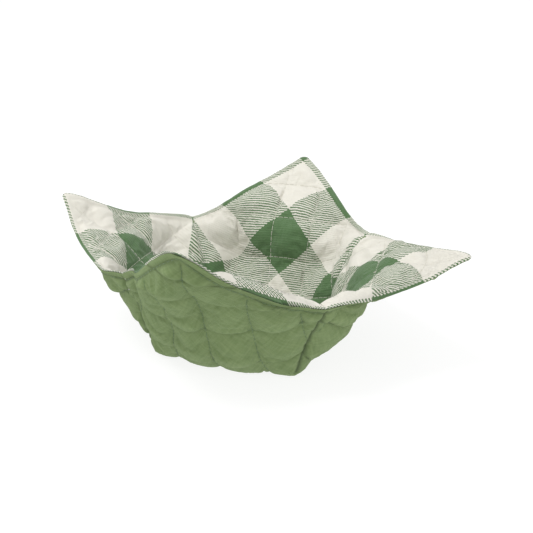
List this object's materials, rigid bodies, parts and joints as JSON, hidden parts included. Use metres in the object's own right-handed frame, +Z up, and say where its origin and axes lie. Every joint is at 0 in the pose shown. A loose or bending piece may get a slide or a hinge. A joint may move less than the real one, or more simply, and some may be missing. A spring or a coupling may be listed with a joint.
{
  "type": "microwave bowl cozy",
  "caption": "Quilted cotton square drawn up by sewn darts into a soft bowl with a flat base and turned-out corner tips, for holding a hot soup bowl.",
  "frame": {"origin": "middle of the overall box in plan, at the level of the table it stands on", "axes": "+Z up out of the bowl, +X from the left corner tip to the right one, +Y from the front corner tip to the back one"},
  "size_m": [0.2826, 0.2618, 0.1001],
  "materials": {
    "cover_cotton": "plain woven sage green cotton, matt",
    "cotton_wadding": "soft needled cotton wadding",
    "lining_cotton": "cream and green checked cotton twill, matt"
  },
  "bodies": {
    "root": {"outer_cover": "cover_cotton", "wadding": "cotton_wadding", "lining": "lining_cotton"}
  },
  "joints": []
}
